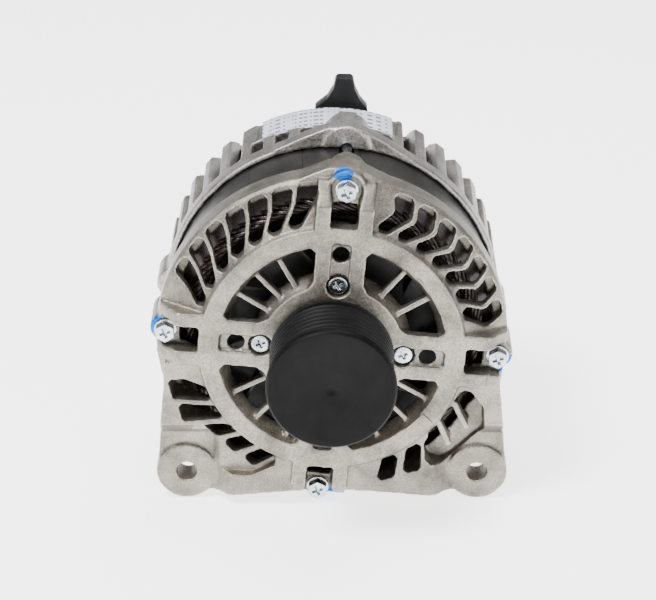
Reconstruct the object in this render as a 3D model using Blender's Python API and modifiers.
"""Car alternator with an overrunning belt pulley, two die-cast brackets clamped round a stator by four bolts,
a claw-pole rotor on two ball bearings, a rectifier, and a regulator with sprung brushes.

Every piece is modelled on a local frame whose +Z runs along the shaft towards the pulley, with X to the right and Y up
as seen from the pulley. Z is 0 on the front bracket's face ring. The empty `shaft_line` turns that frame into the
world: the shaft lies along Y, the pulley looks towards -Y, and the lowest castings touch Z = 0.
"""

import math

import bmesh
import bpy
from mathutils import Matrix, Vector

MM = 0.001
SEAM = 0.000003  # metres: points closer than this are one point
FLAT_ANGLE = 1.5  # degrees: faces closer than this in angle are one face

# Driving dimensions, in millimetres
FIT_GAP = 0.3  # left between pieces that touch on the real machine
RUN_GAP = 0.6  # left between pieces that turn past each other

STATOR_RADIUS = 72.6
STATOR_BORE = 55.0
STATOR_FRONT = -20.0
STATOR_LENGTH = 38.0
SLOT_COUNT = 36

BOLT_CIRCLE = 72.6
BOLT_TURN = -5.0  # degrees that the bolt cross is turned from upright
BOLT_HOLE = 2.8
BOLT_SHANK = 2.5
BOLT_SEAT = -9.5
BOSS_RADII = {"top": 8.5, "left": 6.8, "bottom": 6.0, "right": 6.8}
BOLT_ANGLES = {"top": 90.0, "left": 180.0, "bottom": 270.0, "right": 0.0}

FRONT_RADIUS = 77.0
FRONT_REAR = -24.0
BOSS_REAR = -31.0
FACE_RING_OUTER = 57.6
FACE_RING_INNER = 49.8
FRONT_WALL = 5.0
SHOULDER_DEPTH = 11.5
HUB_RADIUS = 29.0

RETAINER_SEAT = -4.4

LUG_SPREAD = 64.9  # each lug's distance from the shaft, sideways
LUG_RADIUS = 13.5
LUG_BORE = 4.6
LUG_FACE = -8.3
LUG_LENGTH = 14.0

REAR_RADIUS = 75.4
REAR_LIP = 8.0
REAR_FLOOR_RADIUS = 70.4
REAR_DEPTH = 50.0
REAR_WALL = 4.0
FIN_PITCH = 9.0  # degrees

FRONT_BEARING = {"bore": 8.5, "outer": 23.5, "width": 14.0, "ball": 4.0, "balls": 7, "front": -3.5}
REAR_BEARING = {"bore": 7.5, "outer": 17.5, "width": 11.0, "ball": 3.0, "balls": 7}
REAR_BEARING_BACK = 28.5

PULLEY_RADIUS = 27.0
PULLEY_REAR = 4.3
PULLEY_WIDTH = 30.0
PULLEY_BORE = 20.5
PULLEY_HUB_RADIUS = 14.0
RIB_COUNT = 7
RIB_PITCH = 3.56

CLAW_COUNT = 8
SLIP_RING_RADIUS = 11.0
SLIP_RINGS_BACK = {"front": 13.0, "rear": 21.0}
SLIP_RING_WIDTH = 5.6
BRUSH_WIDTH = 4.4
BRUSH_DEPTH = 6.0
BRUSH_LENGTH = 14.0

STUD_REACH = 8.0  # how far the output stud stands behind the rear bracket

# Worked out from them
STATOR_REAR = STATOR_FRONT - STATOR_LENGTH
ROTOR_RADIUS = STATOR_BORE - RUN_GAP
SHAFT_HEIGHT = BOLT_CIRCLE * math.cos(math.radians(BOLT_TURN)) + BOSS_RADII["bottom"]
LUG_DROP = SHAFT_HEIGHT - LUG_RADIUS
REAR_FRONT = STATOR_REAR + 4.0
REAR_END = REAR_FRONT - REAR_DEPTH
REAR_BEARING["front"] = STATOR_REAR - REAR_BEARING_BACK
SLIP_RINGS = {name: STATOR_REAR - back for name, back in SLIP_RINGS_BACK.items()}
STUD_END = REAR_END - STUD_REACH
CAP_RADIUS = PULLEY_RADIUS + 0.75
CAP_FRONT = PULLEY_REAR + PULLEY_WIDTH + 1.9
LENGTH_MIDDLE = (CAP_FRONT + STUD_END) / 2


def polar(radius, degrees):
    """A point in the plane across the shaft."""
    angle = math.radians(degrees)
    return Vector((radius * math.cos(angle), radius * math.sin(angle)))


def around(radius, sides):
    """The corner radius of a polygon whose sides stay outside a circle."""
    return radius / math.cos(math.pi / sides)


# Scene, materials and the tools that every piece is made with


def clear_scene():
    for old in list(bpy.data.objects):
        bpy.data.objects.remove(old)


def collection(name):
    made = bpy.data.collections.new(name)
    bpy.context.scene.collection.children.link(made)
    return made


def shaft_line():
    empty = bpy.data.objects.new("shaft_line", None)
    PARTS.objects.link(empty)
    empty.rotation_euler = (math.pi / 2, 0, 0)
    empty.location = (0, LENGTH_MIDDLE * MM, SHAFT_HEIGHT * MM)
    return empty


def material(name, colour, roughness, metallic=0.0):
    made = bpy.data.materials.get(name)
    if made is None:
        made = bpy.data.materials.new(name)
        made.use_nodes = True
        shader = made.node_tree.nodes["Principled BSDF"]
        shader.inputs["Base Color"].default_value = (*colour, 1)
        shader.inputs["Roughness"].default_value = roughness
        shader.inputs["Metallic"].default_value = metallic
        made.diffuse_color = (*colour, 1)
    return made


def cast_aluminium():
    return material("cast_aluminium", (0.60, 0.58, 0.55), 0.5, 0.8)


def zinc_steel():
    return material("zinc_steel", (0.75, 0.76, 0.76), 0.28, 1.0)


def bearing_steel():
    return material("bearing_steel", (0.55, 0.55, 0.56), 0.25, 1.0)


def dark_steel():
    return material("dark_steel", (0.16, 0.16, 0.17), 0.45, 0.9)


def lamination_steel():
    return material("lamination_steel", (0.10, 0.10, 0.11), 0.5, 0.7)


def black_plastic():
    return material("black_plastic", (0.03, 0.03, 0.035), 0.45)


def winding_enamel():
    return material("winding_enamel", (0.22, 0.08, 0.04), 0.35, 0.6)


def copper():
    return material("copper", (0.70, 0.35, 0.20), 0.3, 1.0)


def carbon():
    return material("carbon", (0.06, 0.06, 0.06), 0.6)


def black_coating():
    return material("black_coating", (0.02, 0.02, 0.02), 0.4, 0.3)


def label_film():
    return material("label_film", (0.80, 0.83, 0.88), 0.35)


def place(obj, group, finish=None, parent=None):
    """Puts an object in its collection, under the shaft line or another parent."""
    group.objects.link(obj)
    obj.parent = parent or SHAFT
    if finish:
        obj.data.materials.append(finish)
    if group is CUTTERS:
        obj.hide_render = True
        obj.display_type = "WIRE"
    return obj


def new_object(name, form):
    """form is a bmesh in millimetres."""
    mesh = bpy.data.meshes.new(name)
    bmesh.ops.scale(form, vec=(MM, MM, MM), verts=form.verts)
    form.to_mesh(mesh)
    form.free()
    return bpy.data.objects.new(name, mesh)


def frozen(obj):
    """The object with its modifiers worked into its mesh."""
    bpy.context.view_layer.update()
    graph = bpy.context.evaluated_depsgraph_get()
    mesh = bpy.data.meshes.new_from_object(obj.evaluated_get(graph))
    mesh.name = obj.name
    obj.modifiers.clear()
    obj.data = mesh
    return obj


def turned(name, profile, steps, group=None, finish=None):
    """A solid of revolution about the shaft. profile is a closed loop of (radius, z), or runs from axis to axis."""
    group = group or PARTS
    form = bmesh.new()
    points = [form.verts.new((radius, 0, z)) for radius, z in profile]
    for first, second in zip(points, points[1:]):
        form.edges.new((first, second))
    if profile[0][0] > 0 or profile[-1][0] > 0:
        form.edges.new((points[-1], points[0]))
    obj = place(new_object(name, form), group, finish)
    screw = obj.modifiers.new("turn", "SCREW")
    screw.axis = "Z"
    screw.steps = steps
    screw.render_steps = steps
    screw.use_merge_vertices = True
    screw.merge_threshold = 0.00005
    frozen(obj)
    facing = bmesh.new()
    facing.from_mesh(obj.data)
    bmesh.ops.remove_doubles(facing, verts=facing.verts, dist=0.00001)
    bmesh.ops.recalc_face_normals(facing, faces=facing.faces)
    facing.to_mesh(obj.data)
    facing.free()
    return obj


def plate(name, loops, low, high, group=None, finish=None):
    """Flat outlines in the plane across the shaft, made solid from z low to z high. Inner loops are holes."""
    group = group or PARTS
    curve = bpy.data.curves.new(name, "CURVE")
    curve.dimensions = "2D"
    curve.fill_mode = "BOTH"
    curve.extrude = (high - low) / 2 * MM
    for loop in loops:
        spline = curve.splines.new("POLY")
        spline.points.add(len(loop) - 1)
        for point, at in zip(spline.points, loop):
            point.co = (at[0] * MM, at[1] * MM, 0, 1)
        spline.use_cyclic_u = True
    obj = place(bpy.data.objects.new(name, curve), group)
    obj.location.z = (high + low) / 2 * MM
    return meshed(obj, group, finish)


def meshed(curve_object, group, finish=None):
    """A mesh object in place of a curve object, with its caps welded."""
    bpy.context.view_layer.update()
    graph = bpy.context.evaluated_depsgraph_get()
    mesh = bpy.data.meshes.new_from_object(curve_object.evaluated_get(graph))
    form = bmesh.new()
    form.from_mesh(mesh)
    bmesh.ops.transform(form, matrix=curve_object.matrix_local, verts=form.verts)
    bmesh.ops.remove_doubles(form, verts=form.verts, dist=0.000001)
    bmesh.ops.recalc_face_normals(form, faces=form.faces)
    form.to_mesh(mesh)
    form.free()
    name = curve_object.name
    parent = curve_object.parent
    bpy.data.objects.remove(curve_object)
    mesh.name = name
    mesh.materials.clear()
    made = bpy.data.objects.new(name, mesh)
    return place(made, group, finish, parent)


def rod(name, centre, radius, low, high, segments=24, group=None, finish=None):
    """A round bar along the shaft's direction."""
    form = bmesh.new()
    bmesh.ops.create_cone(
        form, cap_ends=True, segments=segments, radius1=radius, radius2=radius, depth=high - low
    )
    bmesh.ops.translate(form, vec=(centre[0], centre[1], (high + low) / 2), verts=form.verts)
    return place(new_object(name, form), group or PARTS, finish)


def block(name, size, centre, turn=0.0, group=None, finish=None, taper=1.0):
    """A box, turned about the shaft by degrees after it is placed. taper scales its rear face."""
    form = bmesh.new()
    bmesh.ops.create_cube(form, size=1)
    bmesh.ops.scale(form, vec=size, verts=form.verts)
    rear = [vert for vert in form.verts if vert.co.z < 0]
    bmesh.ops.scale(form, vec=(taper, taper, 1), verts=rear)
    bmesh.ops.translate(form, vec=centre, verts=form.verts)
    bmesh.ops.rotate(form, cent=(0, 0, 0), matrix=Matrix.Rotation(math.radians(turn), 3, "Z"), verts=form.verts)
    return place(new_object(name, form), group or PARTS, finish)


def combine(obj, others, operation):
    """Cuts the others from obj, or joins them to it. They are used up."""
    for other in others:
        boolean = obj.modifiers.new(other.name, "BOOLEAN")
        boolean.operation = operation
        boolean.object = other
        boolean.solver = "EXACT"
        frozen(obj)
        tidied = bmesh.new()
        tidied.from_mesh(obj.data)
        bmesh.ops.remove_doubles(tidied, verts=tidied.verts, dist=SEAM)
        bmesh.ops.dissolve_degenerate(tidied, edges=tidied.edges, dist=SEAM)
        tidied.to_mesh(obj.data)
        tidied.free()
        bpy.data.objects.remove(other)
    return obj


def cut(obj, *cutters):
    return combine(obj, cutters, "DIFFERENCE")


def join(obj, *others):
    return combine(obj, others, "UNION")


def without_seams(obj):
    """The casting with the joins that booleans leave in its flat faces taken out."""
    form = bmesh.new()
    form.from_mesh(obj.data)
    bmesh.ops.dissolve_limit(
        form, angle_limit=math.radians(FLAT_ANGLE), verts=form.verts, edges=form.edges, delimit=set()
    )
    bmesh.ops.triangulate(form, faces=[face for face in form.faces if len(face.verts) > 4])
    form.to_mesh(obj.data)
    form.free()
    return obj


def smooth(obj, degrees=35.0):
    obj.data.shade_smooth()
    obj.data.set_sharp_from_angle(angle=math.radians(degrees))
    return obj


def circle(radius, segments, centre=(0, 0), turn=0.0):
    """A loop of points for plate()."""
    return [
        Vector(centre) + polar(radius, turn + 360 * index / segments)
        for index in range(segments)
    ]


def arc(radius, start, end, segments):
    return [polar(radius, start + (end - start) * index / segments) for index in range(segments + 1)]


def rounded(corners, radius, steps=3):
    """A closed loop with each corner rounded off, by a radius that its two sides limit."""
    loop = []
    count = len(corners)
    for index, corner in enumerate(corners):
        corner = Vector(corner)
        before = Vector(corners[index - 1]) - corner
        after = Vector(corners[(index + 1) % count]) - corner
        half_angle = before.angle(after) / 2
        reach = min(radius / math.tan(half_angle), before.length * 0.45, after.length * 0.45)
        size = reach * math.tan(half_angle)
        middle = (before.normalized() + after.normalized()).normalized()
        centre = corner + middle * (size / math.sin(half_angle))
        first = corner + before.normalized() * reach - centre
        last = corner + after.normalized() * reach - centre
        sweep = first.angle_signed(last)
        for step in range(steps + 1):
            loop.append(centre + Matrix.Rotation(-sweep * step / steps, 2) @ first)
    return loop


def bar_outline(inner, outer, width, degrees, radius):
    """A rounded rectangle along a spoke, from one radius to another."""
    half = width / 2
    along, across = polar(1, degrees), polar(1, degrees + 90)
    corners = [
        along * inner - across * half,
        along * outer - across * half,
        along * outer + across * half,
        along * inner + across * half,
    ]
    return rounded(corners, radius)


# Both brackets rise to the top bolt in two straight flanks

FLANK_ANGLES = (110.0, 98.0, 91.0, 86.0, 82.0, 74.0, 62.0)
FLANK_RISES = (-0.6, 2.6, 5.6, 6.4, 5.9, 2.8, -0.6)


def flanks(low, high, radius):
    outer = [polar(radius + rise, angle) for angle, rise in zip(FLANK_ANGLES, FLANK_RISES)]
    return plate("flanks", [outer + arc(radius - 5, FLANK_ANGLES[-1], FLANK_ANGLES[0], 4)], low, high, CUTTERS)


# Front bracket: the die-cast frame that carries the mounting lugs

CAVITY_STEPS = 36
BEARING_SCREW_CIRCLE = 30.9
SPOKE_WIDTH = 21.6
ARM_BLOCK_WIDTH = 24.6
ARM_POCKET_WIDTH = 11.8
WINDOW_DEPTH = 8.6
RIB_ANGLES = (30.0, 49.5, 118.0, 132.5, 147.0, 207.0, 226.0, 245.0, 295.0, 313.0, 329.0)


def front_outer_form():
    """The outside of the casting, before it is hollowed."""
    body = turned(
        "front_bracket",
        [
            (0, 0),
            (FACE_RING_OUTER, 0),
            (FACE_RING_OUTER + 0.9, -2.4),
            (FRONT_RADIUS - 1.6, -SHOULDER_DEPTH),
            (FRONT_RADIUS, -SHOULDER_DEPTH - 1.8),
            (FRONT_RADIUS, FRONT_REAR),
            (0, FRONT_REAR),
        ],
        48,
        finish=cast_aluminium(),
    )
    added = [skirt(), flanks(FRONT_REAR + 0.4, -SHOULDER_DEPTH - 1.0, FRONT_RADIUS - 2.0)]
    for name, angle in BOLT_ANGLES.items():
        turn = angle + BOLT_TURN
        centre = polar(BOLT_CIRCLE, turn)
        added.append(rod("boss", centre, BOSS_RADII[name], BOSS_REAR, BOLT_SEAT + 0.7, 16, CUTTERS))
        added.append(arm_block(turn))
    return join(body, *added)


def skirt():
    """The flat lower panel, which spreads to the lugs."""
    side = LUG_SPREAD + LUG_RADIUS
    wall = FRONT_RADIUS - 4.0
    half = [
        (9.5, -SHAFT_HEIGHT + 7.5),
        (24.0, -SHAFT_HEIGHT + 6.5),
        (40.0, -SHAFT_HEIGHT + 5.0),
        (LUG_SPREAD - 9.0, -SHAFT_HEIGHT + 3.2),
        (LUG_SPREAD, -SHAFT_HEIGHT + 0.5),
    ]
    lug_edge = [
        Vector((LUG_SPREAD, -LUG_DROP)) + polar(LUG_RADIUS - 0.8, degrees) for degrees in (-60, -30, 0, 6)
    ]
    half += [(point.x, point.y) for point in lug_edge]
    half += [(side - 2.6, -40.0), (wall + 0.7, -20.0), (wall, -7.0)]
    outline = half + [(-x, y) for x, y in reversed(half)]
    return plate("skirt", [outline], LUG_FACE - LUG_LENGTH + 0.6, -1.9, CUTTERS)


def arm_block(turn):
    """The two arms, still one block, that run from the face ring to a bolt seat and slope down to it."""
    inner = FACE_RING_INNER + 2
    outer = FRONT_RADIUS - 1.2
    proud = 0.05
    side_view = [(inner, proud), (BOLT_CIRCLE - 5, proud), (outer, BOLT_SEAT), (outer, -15), (inner, -15)]
    block_object = plate("arms", [side_view], -ARM_BLOCK_WIDTH / 2, ARM_BLOCK_WIDTH / 2, CUTTERS)
    # the outline was drawn as radius against z: stand it up along the spoke
    stand = Matrix.Rotation(math.pi / 2, 4, "X")
    swing = Matrix.Rotation(math.radians(turn), 4, "Z")
    block_object.data.transform(swing @ stand)
    return block_object


def front_cavity():
    stator_seat = around(STATOR_RADIUS + FIT_GAP, CAVITY_STEPS)
    inner = STATOR_RADIUS - 1.9
    hub_rear = FRONT_BEARING["front"] - FRONT_BEARING["width"] + 0.2
    return turned(
        "cavity",
        [
            (0, hub_rear),
            (HUB_RADIUS, hub_rear),
            (HUB_RADIUS, -FRONT_WALL),
            (FACE_RING_OUTER - 3.5, -FRONT_WALL),
            (inner, -14.5),
            (inner, STATOR_FRONT + FIT_GAP),
            (stator_seat, STATOR_FRONT + FIT_GAP),
            (stator_seat, BOSS_REAR - 1),
            (0, BOSS_REAR - 1),
        ],
        CAVITY_STEPS,
        CUTTERS,
    )


def window_loops(inner, outer):
    """Four windows between the spokes."""
    loops = []
    for angle in BOLT_ANGLES.values():
        start, end = angle + BOLT_TURN, angle + BOLT_TURN + 90
        edge = SPOKE_WIDTH / 2
        inner_lean = math.degrees(math.asin(edge / inner))
        outer_lean = math.degrees(math.asin(edge / outer))
        loop = arc(outer, start + outer_lean + 3, end - outer_lean - 3, 6)
        loop += arc(inner, end - inner_lean - 4, start + inner_lean + 4, 4)
        shoulder = 2.6
        first = polar(outer - shoulder, start + math.degrees(math.asin(edge / (outer - shoulder))))
        last = polar(outer - shoulder, end - math.degrees(math.asin(edge / (outer - shoulder))))
        low_first = polar(inner + shoulder, start + math.degrees(math.asin(edge / (inner + shoulder))))
        low_last = polar(inner + shoulder, end - math.degrees(math.asin(edge / (inner + shoulder))))
        loops.append([low_first, first, *loop[:7], last, low_last, *loop[7:]])
    return loops


def window_ribs():
    """Thin ribs that cross the windows, set back from the face."""
    return [
        block("rib", (18.0, 2.2, 5.0), (41.0, 0, -5.6), angle, CUTTERS) for angle in RIB_ANGLES
    ]


def window_walls():
    """Sloping walls behind the windows' inner and outer edges, which the ribs run between."""
    back = -WINDOW_DEPTH
    hub = turned(
        "hub_wall",
        [(HUB_RADIUS - 0.5, -0.6), (HUB_RADIUS + 2.3, -0.6), (HUB_RADIUS + 6.2, back), (HUB_RADIUS - 0.5, back)],
        32,
        CUTTERS,
    )
    edge = FACE_RING_INNER
    outer = turned(
        "edge_wall",
        [(edge - 3.8, back), (edge - 0.1, -0.6), (edge + 2.4, -0.6), (edge + 2.4, back)],
        36,
        CUTTERS,
    )
    return [hub, outer]


def spoke_cutters():
    """On each spoke: a shallow track with an air hole, a screw hole, and the pocket behind the bolt seat."""
    cutters = []
    for name, angle in BOLT_ANGLES.items():
        turn = angle + BOLT_TURN
        hole_radius = 45.2 if name == "top" else 41.6
        track_end = hole_radius + 7.4 if name != "top" else hole_radius + 5.6
        track = bar_outline(BEARING_SCREW_CIRCLE - 3.0, track_end, 8.4, turn, 1.6)
        cutters.append(plate("track", [track], -1.9, 1, CUTTERS))
        cutters.append(rod("air_hole", polar(hole_radius, turn), 3.75, -10, 0, 12, CUTTERS))
        seat = rod("sink", polar(BEARING_SCREW_CIRCLE, turn), 5.3, RETAINER_SEAT, 1, 12, CUTTERS)
        cutters.append(seat)
        cutters.append(rod("screw_hole", polar(BEARING_SCREW_CIRCLE, turn), 2.3, -20, 1, 8, CUTTERS))
        pocket = bar_outline(FACE_RING_OUTER + 0.4, BOLT_CIRCLE, ARM_POCKET_WIDTH, turn, 1.2)
        cutters.append(plate("pocket", [pocket], BOLT_SEAT + 0.35, 1, CUTTERS))
        seat_radius = min(BOSS_RADII[name], 6.4) + 0.6
        cutters.append(rod("seat", polar(BOLT_CIRCLE, turn), seat_radius, BOLT_SEAT, 2, 14, CUTTERS))
        gap = bar_outline(FACE_RING_OUTER + 3.0, BOLT_CIRCLE - 6.4, ARM_POCKET_WIDTH - 1.4, turn, 1.0)
        cutters.append(plate("gap", [gap], -19, -4, CUTTERS))
        cutters.append(rod("bolt_hole", polar(BOLT_CIRCLE, turn), BOLT_HOLE, -40, 0, 10, CUTTERS))
    return cutters


SLOT_INNER = FACE_RING_OUTER + 1.3
SLOT_OUTER = FRONT_RADIUS - 1.7
SLOT_MIDDLE = SLOT_INNER + 9.0
RIB_WIDTH = 2.1


def leaning_slot(angle, lean, pitch, hook=0.0):
    """An air slot that starts at angle on the face ring and leans over by lean degrees towards the rim.

    Its last part can hook back. The rib that it leaves is RIB_WIDTH wide all the way."""
    corners = []
    stations = [(SLOT_INNER, 0.0), (SLOT_MIDDLE, lean * 0.75), (SLOT_OUTER, lean + hook)]
    for side in (-1, 1):
        for radius, at in stations:
            half = pitch / 2 - math.degrees(RIB_WIDTH / 2 / radius)
            corners.append(polar(radius, angle + at + side * half))
        stations.reverse()
    return rounded(corners[::-1], 1.7, 1)


def upper_slots():
    """Seven slots in each upper quarter of the shoulder."""
    left = [leaning_slot(106.2 + 8.9 * index, -9.0, 8.9) for index in range(7)]
    right = [leaning_slot(69.8 - 8.8 * index, -9.0, 8.8, 5.0) for index in range(7)]
    return [plate("upper_slot", [loop], -17.5, 1, CUTTERS) for loop in left + right]


def lower_slots():
    """Slots through the lower panel, which lie more level the nearer they are to the shaft's height."""
    left = [
        [(-71.8, -15.2), (-64.0, -15.0), (-54.6, -19.0), (-52.2, -25.8), (-69.4, -25.0)],
        [(-67.6, -27.0), (-50.8, -28.2), (-47.0, -34.4), (-65.4, -36.2)],
        [(-57.6, -38.0), (-44.6, -37.4), (-39.4, -42.8), (-52.6, -46.4)],
        [(-48.6, -48.0), (-36.8, -45.0), (-31.4, -49.0), (-43.4, -54.2)],
        [(-39.4, -55.8), (-28.6, -51.2), (-22.8, -53.6), (-35.0, -61.6)],
    ]
    right = [
        [(54.6, -24.0), (58.6, -19.0), (64.4, -27.6), (59.8, -32.8)],
        [(49.6, -32.4), (53.0, -27.0), (58.2, -35.4), (53.8, -41.4)],
        [(42.0, -41.8), (47.6, -35.6), (52.2, -43.8), (46.0, -48.2)],
        [(33.0, -49.6), (39.8, -45.8), (39.2, -60.2), (31.4, -62.0)],
        [(22.4, -54.6), (29.6, -51.8), (27.8, -63.8), (19.6, -66.2)],
    ]
    loops = [rounded(corners, 1.4, 1) for corners in left + right]
    return plate("lower_slots", loops, -17.5, 1, CUTTERS)


def lower_pockets():
    """Deep recesses that the lower slots open into, beside each lug."""
    left = [
        (-62.0, -37.6), (-46.0, -37.2), (-26.0, -54.0), (-24.0, -57.4), (-36.0, -63.4), (-49.4, -62.2),
        (-54.0, -54.0), (-61.6, -47.0),
    ]
    right = [
        (58.4, -17.6), (66.6, -28.6), (67.4, -42.6), (54.0, -55.6), (49.4, -58.8), (41.6, -57.0), (40.6, -46.6),
    ]
    shallow = plate("left_pocket", [rounded(left, 2.4, 1)], -6.8, 1, CUTTERS)
    deep = plate("right_pocket", [rounded(right, 2.8, 1)], -12.6, 1, CUTTERS)
    return [shallow, deep]


def pocket_fins():
    """Two thin ribs that stand free in the right-hand pocket."""
    fins = []
    for start, end in (((53.6, -26.8), (59.4, -39.6)), ((46.8, -36.0), (51.6, -48.0))):
        start, end = Vector(start), Vector(end)
        along = (end - start).normalized()
        across = Vector((-along.y, along.x)) * 1.3
        foot = start + (end - start) * 0.75
        fins.append(plate("fin", [[start - across, end - across, end + across, start + across]], -10.4, -2.6, CUTTERS))
        fins.append(plate("foot", [[foot - across, end - across, end + across, foot + across]], -13.0, -3.0, CUTTERS))
    return fins


def lug_steps():
    """The panel steps back round each lug, with sloping sides."""
    cutters = []
    for side in (-1, 1):
        size = 60.0
        slope = 0.64
        middle = (side * (42.0 + size / 2), -34.5 - size / 2, -4.4)
        step = block("lug_step", (size, size, 11.2), (0, 0, 0), 0, CUTTERS, taper=slope)
        step.data.transform(Matrix.Translation(Vector(middle) * MM))
        cutters.append(step)
    return cutters


def lugs(low, high, radius, segments):
    return [
        rod("lug", (side * LUG_SPREAD, -LUG_DROP), radius, low, high, segments, CUTTERS)
        for side in (-1, 1)
    ]


def front_bracket():
    body = front_outer_form()
    cut(body, *lug_steps())
    join(body, *lugs(LUG_FACE - LUG_LENGTH, LUG_FACE, LUG_RADIUS, 28))
    cut(body, front_cavity())
    screw_bosses = [
        rod("screw_boss", polar(BEARING_SCREW_CIRCLE, angle + BOLT_TURN), 4.6,
            FRONT_BEARING["front"] - FRONT_BEARING["width"] + 0.2, -3.5, 10, CUTTERS)
        for angle in BOLT_ANGLES.values()
    ]
    join(body, *screw_bosses)
    cut(body, plate("windows", window_loops(HUB_RADIUS + 2.4, FACE_RING_INNER), -12, 1, CUTTERS))
    join(body, *window_walls(), *window_ribs())
    cut(body, *spoke_cutters())
    cut(body, *upper_slots())
    cut(body, lower_slots(), *lower_pockets())
    join(body, *pocket_fins())
    bore = FRONT_BEARING["outer"] + FIT_GAP
    cut(
        body,
        rod("bearing_bore", (0, 0), bore, -30, FRONT_BEARING["front"] + FIT_GAP, 32, CUTTERS),
        rod("nose_hole", (0, 0), 16.0, -10, 1, 24, CUTTERS),
        *lugs(-40, 0, LUG_BORE, 16),
    )
    return smooth(without_seams(body))


# Rear bracket: the finned die-cast end, with the tapped bosses

REAR_CAVITY_RADIUS = 68.5
REAR_HUB_RADIUS = REAR_BEARING["outer"] + 4.5
LABEL_SPAN = (67.0, 117.0)  # degrees
LABEL_SEAT_RADIUS = 73.2
STUD_AT = (5.3, 54.0)
SOCKET_AT = (-30.0, 43.0)
SOCKET_SIZE = (20.0, 14.0)
STUD_RADIUS = 3.8
REAR_WINDOWS = (15.0, 48.0, 165.0, 200.0, 235.0, 270.0, 305.0, 340.0)


def fin_gaps():
    """The air gaps between the fins. Those under the label stop short of it."""
    gaps = []
    count = round(360 / FIN_PITCH)
    for index in range(count):
        angle = BOLT_TURN + FIN_PITCH * (index + 0.5)
        beside_bolt = abs((angle - BOLT_TURN + 45) % 90 - 45) < FIN_PITCH
        under_label = LABEL_SPAN[0] - 4 < angle % 360 < LABEL_SPAN[1] + 4
        back = REAR_FRONT - 20.5 if under_label else REAR_END - 1.0
        if beside_bolt:
            continue
        gaps.append(block("fin_gap", (14.0, 6.2, -REAR_LIP - 1.0 + REAR_FRONT - back),
                          (REAR_RADIUS - 2, 0, (REAR_FRONT - REAR_LIP - 1.0 + back) / 2), angle, CUTTERS))
    return gaps


def rear_window(angle):
    loop = arc(58.0, angle - 13, angle + 13, 3) + arc(44.0, angle + 12, angle - 12, 2)
    return plate("rear_window", [loop], REAR_END - 1, REAR_END + REAR_WALL + 1, CUTTERS)


def rear_bracket():
    body = turned(
        "rear_bracket",
        [
            (0, REAR_FRONT),
            (REAR_RADIUS - 0.8, REAR_FRONT),
            (REAR_RADIUS, REAR_FRONT - 0.8),
            (REAR_RADIUS, REAR_END + 9),
            (REAR_FLOOR_RADIUS, REAR_END + 1.5),
            (REAR_FLOOR_RADIUS - 2, REAR_END),
            (0, REAR_END),
        ],
        48,
        finish=cast_aluminium(),
    )
    bosses = []
    for name, angle in BOLT_ANGLES.items():
        centre = polar(BOLT_CIRCLE, angle + BOLT_TURN)
        radius = BOSS_RADII[name] + (2.0 if name == "top" else 0.0)
        bosses.append(rod("boss", centre, radius, REAR_FRONT - 19.0, REAR_FRONT + 0.6, 18, CUTTERS))
    join(body, *bosses, flanks(REAR_FRONT - REAR_LIP, REAR_FRONT - 0.3, REAR_RADIUS + 1.0))
    seat = around(STATOR_RADIUS + FIT_GAP, CAVITY_STEPS)
    hub_front = REAR_BEARING["front"] + 0.6
    wall = REAR_END + REAR_WALL
    cavity = turned(
        "cavity",
        [
            (0, REAR_FRONT + 2),
            (seat, REAR_FRONT + 2),
            (seat, STATOR_REAR - FIT_GAP),
            (REAR_CAVITY_RADIUS, STATOR_REAR - FIT_GAP),
            (REAR_CAVITY_RADIUS, wall + 4),
            (REAR_CAVITY_RADIUS - 4, wall),
            (REAR_HUB_RADIUS, wall),
            (REAR_HUB_RADIUS, hub_front),
            (0, hub_front),
        ],
        CAVITY_STEPS,
        CUTTERS,
    )
    label_seat = arc(LABEL_SEAT_RADIUS, *LABEL_SPAN, 10) + arc(REAR_RADIUS + 6, *reversed(LABEL_SPAN), 6)
    cut(body, cavity, plate("label_seat", [label_seat], REAR_END + 3.5, REAR_FRONT - 22.0, CUTTERS))
    cut(body, *fin_gaps())
    cut(body, *[rear_window(angle) for angle in REAR_WINDOWS])
    bolts = [
        rod("tapped", polar(BOLT_CIRCLE, angle + BOLT_TURN), BOLT_HOLE, REAR_FRONT - 18.2, REAR_FRONT + 9, 10, CUTTERS)
        for angle in BOLT_ANGLES.values()
    ]
    bearing_floor = REAR_BEARING["front"] - REAR_BEARING["width"] - FIT_GAP
    cut(
        body,
        *bolts,
        rod("bearing_bore", (0, 0), REAR_BEARING["outer"] + FIT_GAP, bearing_floor, hub_front + 2, 28, CUTTERS),
        rod("end_hole", (0, 0), 9.0, REAR_END - 1, bearing_floor + 1, 16, CUTTERS),
        rod("stud_hole", STUD_AT, STUD_RADIUS + 2.4, REAR_END - 1, wall + 1, 20, CUTTERS),
        block("socket_hole", (SOCKET_SIZE[0] + 1, SOCKET_SIZE[1] + 1, 12), (*SOCKET_AT, REAR_END), 0, CUTTERS),
    )
    return smooth(without_seams(body))


# Stator


SLOT_WIDTH = 4.3
SLOT_FLOOR = 66.0
COIL_INNER = 57.0


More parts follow.
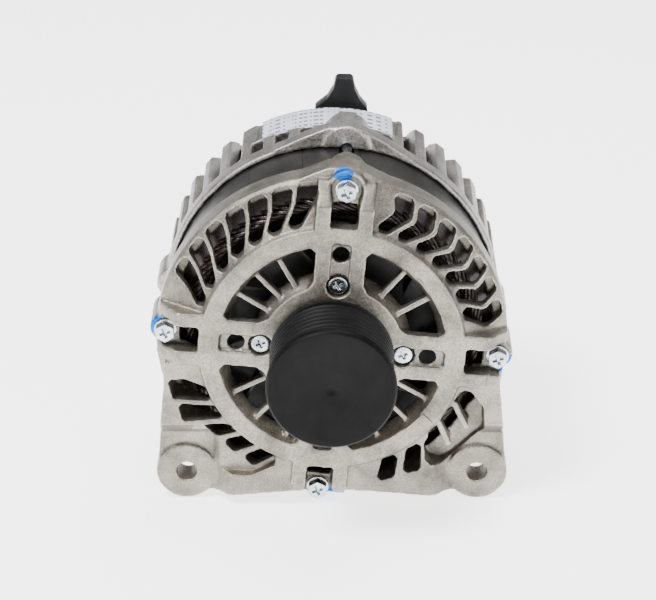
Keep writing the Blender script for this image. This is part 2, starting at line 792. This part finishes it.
def stator_core():
    outer = []
    for index, angle in enumerate(BOLT_ANGLES.values()):
        turn = angle + BOLT_TURN
        centre = polar(BOLT_CIRCLE, turn)
        notch = BOLT_HOLE + 0.5
        half = math.degrees(2 * math.asin(notch / STATOR_RADIUS / 2))
        lean = 90 - half / 2
        outer += [centre + polar(notch, turn + lean + step * (360 - 2 * lean) / 8) for step in range(1, 8)][::-1]
        outer += arc(STATOR_RADIUS, turn + half, turn + 90 - half, 14)
    inner = []
    step = 360 / SLOT_COUNT
    opening = math.degrees(SLOT_WIDTH / 2 / STATOR_BORE)
    for index in range(SLOT_COUNT):
        middle = step * index
        along, across = polar(1, middle), polar(SLOT_WIDTH / 2, middle + 90)
        inner += [
            polar(STATOR_BORE, middle - opening),
            along * SLOT_FLOOR - across,
            along * SLOT_FLOOR + across,
            polar(STATOR_BORE, middle + opening),
        ]
    core = plate("stator_core", [outer, inner], STATOR_REAR, STATOR_FRONT, finish=lamination_steel())
    return smooth(core)


def stator_winding():
    front = [
        (COIL_INNER, -12.2), (61.0, -11.8), (65.6, -15.0), (65.6, STATOR_FRONT + 0.9), (COIL_INNER, STATOR_FRONT + 0.9),
    ]
    rear = [
        (COIL_INNER, STATOR_REAR - 0.9), (65.6, STATOR_REAR - 0.9), (66.2, STATOR_REAR - 9), (62.0, STATOR_REAR - 12),
        (COIL_INNER, STATOR_REAR - 11.5),
    ]
    winding = turned("stator_winding", front, 24, finish=winding_enamel())
    step = 360 / SLOT_COUNT
    bars = []
    half = SLOT_WIDTH / 2 - 0.4
    for index in range(SLOT_COUNT):
        along, across = polar(1, step * index), polar(half, step * index + 90)
        near, far = along * (COIL_INNER + 0.5), along * (SLOT_FLOOR - 0.8)
        bars.append([near - across, far - across, far + across, near + across])
    slot_bars = plate("slot_bars", bars, STATOR_REAR - 2, STATOR_FRONT + 2, CUTTERS)
    leads = [rod("lead", polar(61.5, angle), 1.2, STATOR_REAR - 21, STATOR_REAR - 8, 8, CUTTERS) for angle in (215, 270, 325)]
    join(winding, slot_bars, turned("rear_turns", rear, 24, CUTTERS), *leads)
    return smooth(winding, 50)


# Rotor

ROTOR_FRONT = -24.0
POLE_THICKNESS = 10.0
ROTOR_LENGTH = STATOR_LENGTH - 4.0
ROTOR_REAR = ROTOR_FRONT - ROTOR_LENGTH
ROTOR_MIDDLE = (ROTOR_FRONT + ROTOR_REAR) / 2
SHAFT_FRONT_RADIUS = FRONT_BEARING["bore"] - FIT_GAP
SHAFT_MIDDLE_RADIUS = 9.0
SHAFT_REAR_RADIUS = REAR_BEARING["bore"] - FIT_GAP
POLE_HUB = 17.0


def hexahedron(name, near, far, group=None):
    """A solid between two four-sided faces whose corners are (x, y, z), in the same order."""
    form = bmesh.new()
    low = [form.verts.new(point) for point in near]
    high = [form.verts.new(point) for point in far]
    form.faces.new(low)
    form.faces.new(high)
    for index in range(4):
        after = (index + 1) % 4
        form.faces.new((low[index], low[after], high[after], high[index]))
    bmesh.ops.recalc_face_normals(form, faces=form.faces)
    return place(new_object(name, form), group or PARTS)


def claw(turn, root, tip):
    """One tapered finger of a claw pole."""
    faces = []
    for z, inner, half in ((root, 43.5, 11.2), (tip, 49.5, 5.0)):
        corners = [polar(inner, turn - half), polar(ROTOR_RADIUS - 0.25, turn - half),
                   polar(ROTOR_RADIUS - 0.25, turn + half), polar(inner, turn + half)]
        faces.append([(corner.x, corner.y, z) for corner in corners])
    return hexahedron("claw", *faces, CUTTERS)


def claw_pole(name, face, inward, turn):
    """face is the z of the pole's outer side, and inward is the direction of its fingers along z."""
    star = []
    pitch = 360 / CLAW_COUNT
    for index in range(CLAW_COUNT):
        at = turn + pitch * index
        star += [polar(31.0, at - pitch / 2), polar(ROTOR_RADIUS, at - 11.5), polar(ROTOR_RADIUS, at - 4.0)]
        star += [polar(ROTOR_RADIUS, at + 4.0), polar(ROTOR_RADIUS, at + 11.5)]
    inside = face + inward * POLE_THICKNESS
    pole = plate(name, [star], min(face, inside), max(face, inside), finish=dark_steel())
    hub_end = ROTOR_MIDDLE - inward * FIT_GAP / 2
    hub = rod("hub", (0, 0), POLE_HUB, *sorted((face + inward * 2, hub_end)), 20, CUTTERS)
    root, tip = face + inward * (POLE_THICKNESS - 3), face + inward * (ROTOR_LENGTH - 1.6)
    claws = [claw(turn + pitch * index, root, tip) for index in range(CLAW_COUNT)]
    join(pole, hub, *claws)
    bore = SHAFT_MIDDLE_RADIUS + FIT_GAP
    cut(pole, rod("bore", (0, 0), bore, ROTOR_REAR - 2, ROTOR_FRONT + 2, 16, CUTTERS))
    return smooth(pole)


def ring(name, inner, outer, low, high, steps, finish):
    return smooth(turned(name, [(inner, high), (outer, high), (outer, low), (inner, low)], steps, finish=finish))


def rotor_shaft():
    return smooth(turned(
        "rotor_shaft",
        [
            (0, 30.6),
            (SHAFT_FRONT_RADIUS - 1, 30.6),
            (SHAFT_FRONT_RADIUS, 29.6),
            (SHAFT_FRONT_RADIUS, -18.0),
            (SHAFT_MIDDLE_RADIUS, -18.0),
            (SHAFT_MIDDLE_RADIUS, STATOR_REAR - 8),
            (SHAFT_REAR_RADIUS, STATOR_REAR - 8),
            (SHAFT_REAR_RADIUS, REAR_END + 5),
            (0, REAR_END + 5),
        ],
        24,
        finish=bearing_steel(),
    ))


def field_winding():
    spool = FIT_GAP + POLE_HUB + 0.1
    front, rear = ROTOR_FRONT - POLE_THICKNESS - 0.4, ROTOR_REAR + POLE_THICKNESS + 0.4
    smooth(turned(
        "coil_bobbin",
        [
            (spool, front), (40.5, front), (40.5, front - 1.2), (spool + 1.2, front - 1.2),
            (spool + 1.2, rear + 1.2), (40.5, rear + 1.2), (40.5, rear), (spool, rear),
        ],
        28,
        finish=black_plastic(),
    ))
    ring("field_coil", spool + 1.5, 39.5, rear + 1.5, front - 1.5, 28, copper())


def fan(name, disc_front, blade_low, blade_high, count, slant):
    disc = plate(
        name, [circle(52.4, 24), circle(SHAFT_MIDDLE_RADIUS + FIT_GAP, 16)], disc_front - 1.4, disc_front,
        finish=zinc_steel(),
    )
    middle, height = (blade_low + blade_high) / 2, blade_high - blade_low
    blades = []
    for index in range(count):
        blade = block("blade", (15.0, 1.6, height), (0, 0, 0), slant, CUTTERS)
        blade.data.transform(Matrix.Translation(Vector((44.5, 0, middle)) * MM))
        blade.data.transform(Matrix.Rotation(math.radians(360 * index / count + (index % 3) * 2.5), 4, "Z"))
        blades.append(blade)
    return smooth(join(disc, *blades))


# Bearings


def bearing(name, size):
    """Outer race, inner race, and the balls in their cage, which turn at their own speed."""
    front, rear = size["front"], size["front"] - size["width"]
    middle = (front + rear) / 2
    pitch = (size["bore"] + size["outer"]) / 2
    ball = size["ball"]
    land, groove = ball * 0.9, ball + 0.35
    half = size["width"] / 2
    race = bearing_steel()
    outer_land, outer_groove = pitch + land, pitch + groove
    inner_land, inner_groove = pitch - land, pitch - groove
    smooth(turned(
        name + "_outer_race",
        [
            (size["outer"], middle + half), (size["outer"], middle - half), (outer_land, middle - half),
            (outer_land, middle - ball * 0.95), (outer_groove, middle - ball * 0.5),
            (outer_groove, middle + ball * 0.5), (outer_land, middle + ball * 0.95), (outer_land, middle + half),
        ],
        28, finish=race,
    ))
    smooth(turned(
        name + "_inner_race",
        [
            (size["bore"], middle + half), (size["bore"], middle - half), (inner_land, middle - half),
            (inner_land, middle - ball * 0.95), (inner_groove, middle - ball * 0.5),
            (inner_groove, middle + ball * 0.5), (inner_land, middle + ball * 0.95), (inner_land, middle + half),
        ],
        20, finish=race,
    ))
    cage = turned(
        name + "_balls",
        [(pitch - 0.9, middle + 2), (pitch + 0.9, middle + 2), (pitch + 0.9, middle - 2), (pitch - 0.9, middle - 2)],
        14, finish=race,
    )
    for index in range(size["balls"]):
        form = bmesh.new()
        bmesh.ops.create_uvsphere(form, u_segments=7, v_segments=5, radius=ball)
        at = polar(pitch, 360 * index / size["balls"] + 7)
        bmesh.ops.translate(form, vec=(at.x, at.y, middle + 0.01), verts=form.verts)
        join(cage, place(new_object("ball", form), CUTTERS))
    return smooth(cage, 50)


def bearing_retainer():
    lobes = [rod("lobe", polar(BEARING_SCREW_CIRCLE, angle + BOLT_TURN), 4.4, -19.8, -17.8, 8, CUTTERS)
             for angle in BOLT_ANGLES.values()]
    retainer = plate("bearing_retainer", [circle(27.5, 24), circle(15.0, 16)], -19.75, -17.85,
                     finish=zinc_steel())
    join(retainer, *lobes)
    holes = [rod("hole", polar(BEARING_SCREW_CIRCLE, angle + BOLT_TURN), 2.3, -22, -15, 8, CUTTERS)
             for angle in BOLT_ANGLES.values()]
    return smooth(cut(retainer, *holes))


# Fixings


def fixing(name, at, parts, recess_top, recess_size):
    """A bolt or screw from (radius, low, high, sides) slices, with a cross recess in its head."""
    pieces = [rod("slice", at, radius, low, high, sides, CUTTERS) for radius, low, high, sides in parts]
    body = pieces[0]
    body.name = name
    body.data.name = name
    CUTTERS.objects.unlink(body)
    PARTS.objects.link(body)
    body.hide_render = False
    body.display_type = "TEXTURED"
    body.data.materials.append(zinc_steel())
    join(body, *pieces[1:])
    long, wide, deep = recess_size
    for turn in (20.0, 110.0):
        slot = block("recess", (long, wide, deep * 2), (0, 0, 0), turn, CUTTERS)
        slot.data.transform(Matrix.Translation(Vector((at[0], at[1], recess_top)) * MM))
        cut(body, slot)
    return smooth(body)


def bolts_and_screws():
    seat = BOLT_SEAT + FIT_GAP
    screw_seat = RETAINER_SEAT + FIT_GAP
    for name, angle in BOLT_ANGLES.items():
        at = polar(BOLT_CIRCLE, angle + BOLT_TURN)
        slices = [(4.95, seat, seat + 1.1, 16), (4.45, seat + 0.5, seat + 4.8, 6),
                  (BOLT_SHANK, REAR_FRONT - 17.0, seat + 0.4, 10)]
        fixing("through_bolt_" + name, at, slices, seat + 4.8, (5.0, 1.3, 2.4))
        at = polar(BEARING_SCREW_CIRCLE, angle + BOLT_TURN)
        slices = [(4.1, screw_seat, screw_seat + 2.4, 16), (1.9, -20.8, screw_seat + 0.8, 8)]
        fixing("retainer_screw_" + name, at, slices, screw_seat + 2.4, (4.2, 1.0, 1.5))


# Pulley

PULLEY_FRONT = PULLEY_REAR + PULLEY_WIDTH
CLUTCH_INNER = PULLEY_HUB_RADIUS + FIT_GAP
CLUTCH_OUTER = PULLEY_BORE - FIT_GAP
PULLEY_BEARING_WIDTH = 6.0


def pulley():
    first = PULLEY_REAR + 2.2
    groove_floor = PULLEY_RADIUS - 2.9
    outside = [(PULLEY_BORE, PULLEY_REAR), (PULLEY_RADIUS + 0.4, PULLEY_REAR), (PULLEY_RADIUS + 0.4, first)]
    for index in range(RIB_COUNT):
        low = first + RIB_PITCH * index
        outside += [(groove_floor, low + RIB_PITCH * 0.48), (PULLEY_RADIUS, low + RIB_PITCH * 0.94)]
    outside += [(PULLEY_RADIUS, PULLEY_FRONT), (PULLEY_BORE, PULLEY_FRONT)]
    smooth(turned("pulley_ring", outside[::-1], 26, finish=black_coating()))
    hub_front = PULLEY_FRONT - 3.4
    bore = SHAFT_FRONT_RADIUS + FIT_GAP
    ring("pulley_hub", bore, PULLEY_HUB_RADIUS, PULLEY_REAR + 0.4, hub_front, 24, bearing_steel())
    ring("spacer_collar", bore, 12.0, FRONT_BEARING["front"] + FIT_GAP, PULLEY_REAR + 0.1, 24, bearing_steel())
    rear = PULLEY_REAR + 0.8
    front = hub_front - 0.2
    inner_end, outer_end = rear + PULLEY_BEARING_WIDTH, front - PULLEY_BEARING_WIDTH
    ring("pulley_bearing_rear", CLUTCH_INNER, CLUTCH_OUTER, rear, inner_end, 24, bearing_steel())
    ring("pulley_bearing_front", CLUTCH_INNER, CLUTCH_OUTER, outer_end, front, 24, bearing_steel())
    ring("one_way_clutch", CLUTCH_INNER, CLUTCH_OUTER, inner_end + FIT_GAP, outer_end - FIT_GAP, 24, dark_steel())
    plug, lip = CLUTCH_OUTER, PULLEY_FRONT + FIT_GAP
    smooth(turned(
        "pulley_dust_cap",
        [
            (0, CAP_FRONT - 0.8), (1.2, CAP_FRONT - 0.5), (2.0, CAP_FRONT), (CAP_RADIUS - 0.8, CAP_FRONT),
            (CAP_RADIUS, CAP_FRONT - 0.7), (CAP_RADIUS, lip), (plug, lip), (plug, lip - 2.4), (plug - 2, lip - 2.4),
            (plug - 2, lip - 0.2), (0, lip - 0.2),
        ],
        36,
        finish=black_coating(),
    ))


# Slip rings, brushes and regulator


def slip_rings():
    sleeve_front, sleeve_rear = SLIP_RINGS["front"] + 4.4, SLIP_RINGS["rear"] - 5.4
    inside = SHAFT_REAR_RADIUS + FIT_GAP
    seat = SLIP_RING_RADIUS - 1.2
    ring("slip_ring_sleeve", inside, seat, sleeve_rear, sleeve_front, 20, black_plastic())
    for name, at in SLIP_RINGS.items():
        half = SLIP_RING_WIDTH / 2
        ring("slip_ring_" + name, seat + FIT_GAP, SLIP_RING_RADIUS, at - half, at + half, 24, copper())


BRUSH_FOOT = SLIP_RING_RADIUS + FIT_GAP
HOLDER_LOW = SLIP_RING_RADIUS + 2.5
HOLDER_TOP = 42.0
SPRING_TOP = HOLDER_TOP - 2.8


def coil_spring(name, z, low, high, radius, wire, turns):
    curve = bpy.data.curves.new(name, "CURVE")
    curve.dimensions = "3D"
    curve.bevel_depth = wire * MM
    curve.bevel_resolution = 0
    curve.use_fill_caps = True
    spline = curve.splines.new("POLY")
    steps = turns * 7
    spline.points.add(steps)
    for index, point in enumerate(spline.points):
        flat = polar(radius, 360 * index / 7)
        height = low + wire + (high - low - 2 * wire) * index / steps
        point.co = (flat.x * MM, height * MM, (z + flat.y) * MM, 1)
    obj = place(bpy.data.objects.new(name, curve), PARTS)
    return smooth(meshed(obj, PARTS, zinc_steel()), 60)


def brush_gear():
    low_z, high_z = SLIP_RINGS["rear"] - 4.4, SLIP_RINGS["front"] + 4.0
    tall = HOLDER_TOP - HOLDER_LOW
    holder = block("brush_holder", (13.0, tall, high_z - low_z),
                   (0, (HOLDER_TOP + HOLDER_LOW) / 2, (low_z + high_z) / 2), finish=black_plastic())
    for at in SLIP_RINGS.values():
        height = SPRING_TOP + 0.3 - HOLDER_LOW + 2
        middle = (SPRING_TOP + 0.3 + HOLDER_LOW - 2) / 2
        cut(holder, block("guide", (BRUSH_DEPTH + 0.7, height, BRUSH_WIDTH + 0.7), (0, middle, at), 0, CUTTERS))
    for name, at in SLIP_RINGS.items():
        block("brush_" + name, (BRUSH_DEPTH, BRUSH_LENGTH, BRUSH_WIDTH), (0, BRUSH_FOOT + BRUSH_LENGTH / 2, at),
              finish=carbon())
        coil_spring("brush_spring_" + name, at, BRUSH_FOOT + BRUSH_LENGTH + 0.15, SPRING_TOP, 1.7, 0.35, 5)


def regulator():
    x, y = SOCKET_AT
    block("voltage_regulator", (30.0, 26.0, 10.0), (x + 4, y - 9, REAR_END + 27), finish=black_plastic())
    sink = block("regulator_heat_sink", (30.0, 12.0, 3.0), (x + 4, y - 15, REAR_END + 20), finish=cast_aluminium())
    fins = [block("fin", (1.6, 11.0, 5.0), (x - 8 + 6 * index, y - 15, REAR_END + 17), 0, CUTTERS) for index in range(5)]
    join(sink, *fins)
    wide, tall = SOCKET_SIZE
    socket_front, socket_rear = REAR_END + 21.6, STUD_END + 1.0
    socket = block("connector_housing", (wide, tall, socket_front - socket_rear),
                   (x, y, (socket_front + socket_rear) / 2), finish=black_plastic())
    floor = REAR_END - 0.6
    hollow = block("hollow", (wide - 3.2, tall - 3.2, 11.0), (x, y, floor - 5.5), 0, CUTTERS)
    cut(socket, hollow)
    for index, name in enumerate(("left", "right")):
        pin_x = x - 3.5 + 7.0 * index
        cut(socket, block("pin_hole", (1.4, 3.4, 6), (pin_x, y, floor + 1.0), 0, CUTTERS))
        block("connector_pin_" + name, (0.8, 2.8, 8.4), (pin_x, y, floor - 0.4), finish=copper())


# Rectifier and output terminal


RECTIFIER_SPAN = (203.0, 337.0)
NEGATIVE_PLATE = REAR_END + 18.0
POSITIVE_PLATE = REAR_END + 10.0
DIODE_CIRCLE = 47.5
DIODE_RADIUS = 5.4
DIODES = {"negative": (214.0, 254.0, 296.0), "positive": (235.0, 275.0, 317.0)}


def rectifier():
    for name, middle in (("negative", NEGATIVE_PLATE), ("positive", POSITIVE_PLATE)):
        loop = arc(60.0, *RECTIFIER_SPAN, 16) + arc(34.0, *reversed(RECTIFIER_SPAN), 12)
        holes = [circle(DIODE_RADIUS + FIT_GAP, 16, polar(DIODE_CIRCLE, angle)) for angle in DIODES[name]]
        smooth(plate("rectifier_plate_" + name, [loop, *holes], middle - 1.5, middle + 1.5,
                     finish=cast_aluminium()))
        for index, angle in enumerate(DIODES[name]):
            at = polar(DIODE_CIRCLE, angle)
            diode = rod(f"diode_{name}_{index + 1}", at, DIODE_RADIUS, middle - 2.6, middle + 2.4, 16,
                        finish=zinc_steel())
            smooth(join(diode, rod("wire", at, 0.9, middle + 1, middle + 5.0, 8, CUTTERS)))
    insulator = arc(39.5, 206.0, 334.0, 10) + arc(35.5, 334.0, 206.0, 10)
    smooth(plate("rectifier_insulator", [insulator], POSITIVE_PLATE + 1.8, NEGATIVE_PLATE - 1.8,
                 finish=black_plastic()))


def output_terminal():
    """The output stud, its insulating bush and nut, and the plastic hood that guards it from above."""
    x, y = STUD_AT
    wall = REAR_END + REAR_WALL
    stud = rod("output_stud", STUD_AT, STUD_RADIUS, STUD_END, wall + 3, 18, finish=zinc_steel())
    smooth(join(stud, rod("head", STUD_AT, 7.5, wall + 2.6, wall + 6.0, 6, CUTTERS)))
    bush = rod("stud_insulator", STUD_AT, STUD_RADIUS + 2.1, REAR_END - 0.2, wall + 0.9, 20, finish=black_plastic())
    join(bush, rod("collar", STUD_AT, STUD_RADIUS + 4.4, wall + 0.4, wall + 2.3, 24, CUTTERS))
    smooth(cut(bush, rod("bore", STUD_AT, STUD_RADIUS + FIT_GAP, REAR_END - 3, wall + 6, 18, CUTTERS)))
    nut = rod("stud_nut", STUD_AT, 6.9, STUD_END + 1.0, REAR_END - 2.4, 6, finish=zinc_steel())
    smooth(cut(nut, rod("bore", STUD_AT, STUD_RADIUS + FIT_GAP, STUD_END - 3, REAR_END + 4, 18, CUTTERS)))
    hood_outline = rounded(
        [
            (x - 12.5, y + 8.5), (x + 11.0, y + 8.5), (x + 10.5, y + 17.0), (x + 7.2, y + 21.0), (x + 5.0, y + 26.0),
            (x + 3.9, y + 31.5), (x - 3.9, y + 31.5), (x - 5.0, y + 26.5), (x - 8.0, y + 21.5), (x - 13.6, y + 17.0),
        ],
        1.8,
    )
    hood = plate("terminal_hood", [hood_outline], STUD_END + 0.4, REAR_END - FIT_GAP, finish=black_plastic())
    tab = plate("tab", [rounded([(x - 8, y - 8), (x + 8, y - 8), (x + 8, y + 10), (x - 8, y + 10)], 3.0)],
                REAR_END - 2.1, REAR_END - FIT_GAP - 0.1, CUTTERS)
    join(hood, tab)
    smooth(cut(hood, rod("bore", STUD_AT, STUD_RADIUS + FIT_GAP, STUD_END - 3, REAR_END + 4, 18, CUTTERS)))


def rating_label():
    start, end = LABEL_SPAN[0] + 1.5, LABEL_SPAN[1] - 1.5
    near = LABEL_SEAT_RADIUS + FIT_GAP
    loop = arc(near + 0.35, start, end, 12) + arc(near, end, start, 12)
    return plate("rating_label", [loop], REAR_END + 5.0, REAR_FRONT - 23.5, finish=label_film())


clear_scene()
PARTS = collection("alternator")
CUTTERS = collection("cutters")
SHAFT = shaft_line()

front_bracket()
rear_bracket()
stator_core()
stator_winding()
rotor_shaft()
claw_pole("claw_pole_front", ROTOR_FRONT, -1, 0.0)
claw_pole("claw_pole_rear", ROTOR_REAR, 1, 180 / CLAW_COUNT)
field_winding()
fan("fan_front", ROTOR_FRONT + 1.8, ROTOR_FRONT + 1.0, ROTOR_FRONT + 11.5, 10, 25.0)
fan("fan_rear", ROTOR_REAR - 0.4, ROTOR_REAR - 8.5, ROTOR_REAR - 1.0, 10, -25.0)
bearing("front_bearing", FRONT_BEARING)
bearing("rear_bearing", REAR_BEARING)
bearing_retainer()
bolts_and_screws()
pulley()
slip_rings()
brush_gear()
regulator()
rectifier()
output_terminal()
rating_label()
